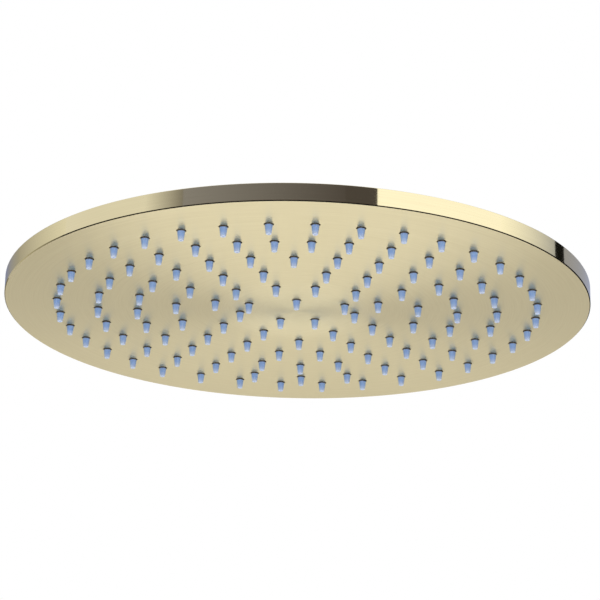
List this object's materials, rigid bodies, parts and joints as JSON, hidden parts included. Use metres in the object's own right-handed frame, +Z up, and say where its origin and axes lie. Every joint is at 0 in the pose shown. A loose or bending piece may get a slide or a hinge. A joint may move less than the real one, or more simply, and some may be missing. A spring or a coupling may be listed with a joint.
{
  "type": "rain shower head",
  "caption": "Slim round rain shower head with a flat brushed face of soft tapered nozzles, hung from a ball swivel with a threaded inlet.",
  "frame": {"origin": "centre of the threaded inlet's mouth, at the top of the ball stem", "axes": "+Z up along the inlet into the pipe; -Y towards the front edge of the nozzle field, which mirrors about X = 0"},
  "size_m": [0.3, 0.3, 0.0509],
  "materials": {
    "brushed_gold": "brushed champagne gold",
    "soft_nozzles": "pale blue silicone",
    "gold_brass": "satin champagne gold",
    "plain_steel": "plain stainless steel",
    "seal_rubber": "black rubber",
    "slip_plastic": "ivory low-friction plastic"
  },
  "bodies": {
    "stem": {"ball_stem": "gold_brass", "inlet_washer": "seal_rubber", "filter_screen": "plain_steel"},
    "slip": {"slip_ring": "slip_plastic"},
    "seat": {"ball_seat": "seal_rubber"},
    "head": {"face_pan": "brushed_gold", "nozzle_mat": "soft_nozzles", "back_plate": "brushed_gold", "spacer_posts": "plain_steel", "swivel_socket": "gold_brass", "swivel_nut": "gold_brass"}
  },
  "joints": [
    {"name": "swivel_turn", "type": "hinge", "parent": "stem", "child": "slip", "pos_m": [0, 0, -0.02741], "axis": [0, 0, 1], "continuous": true},
    {"name": "swivel_tilt", "type": "hinge", "parent": "slip", "child": "seat", "pos_m": [0, 0, -0.02741], "axis": [1, 0, 0], "range_deg": [-10, 10]},
    {"name": "swivel_spin", "type": "hinge", "parent": "seat", "child": "head", "pos_m": [0, 0, -0.02741], "axis": [0, 0, 1], "continuous": true}
  ]
}
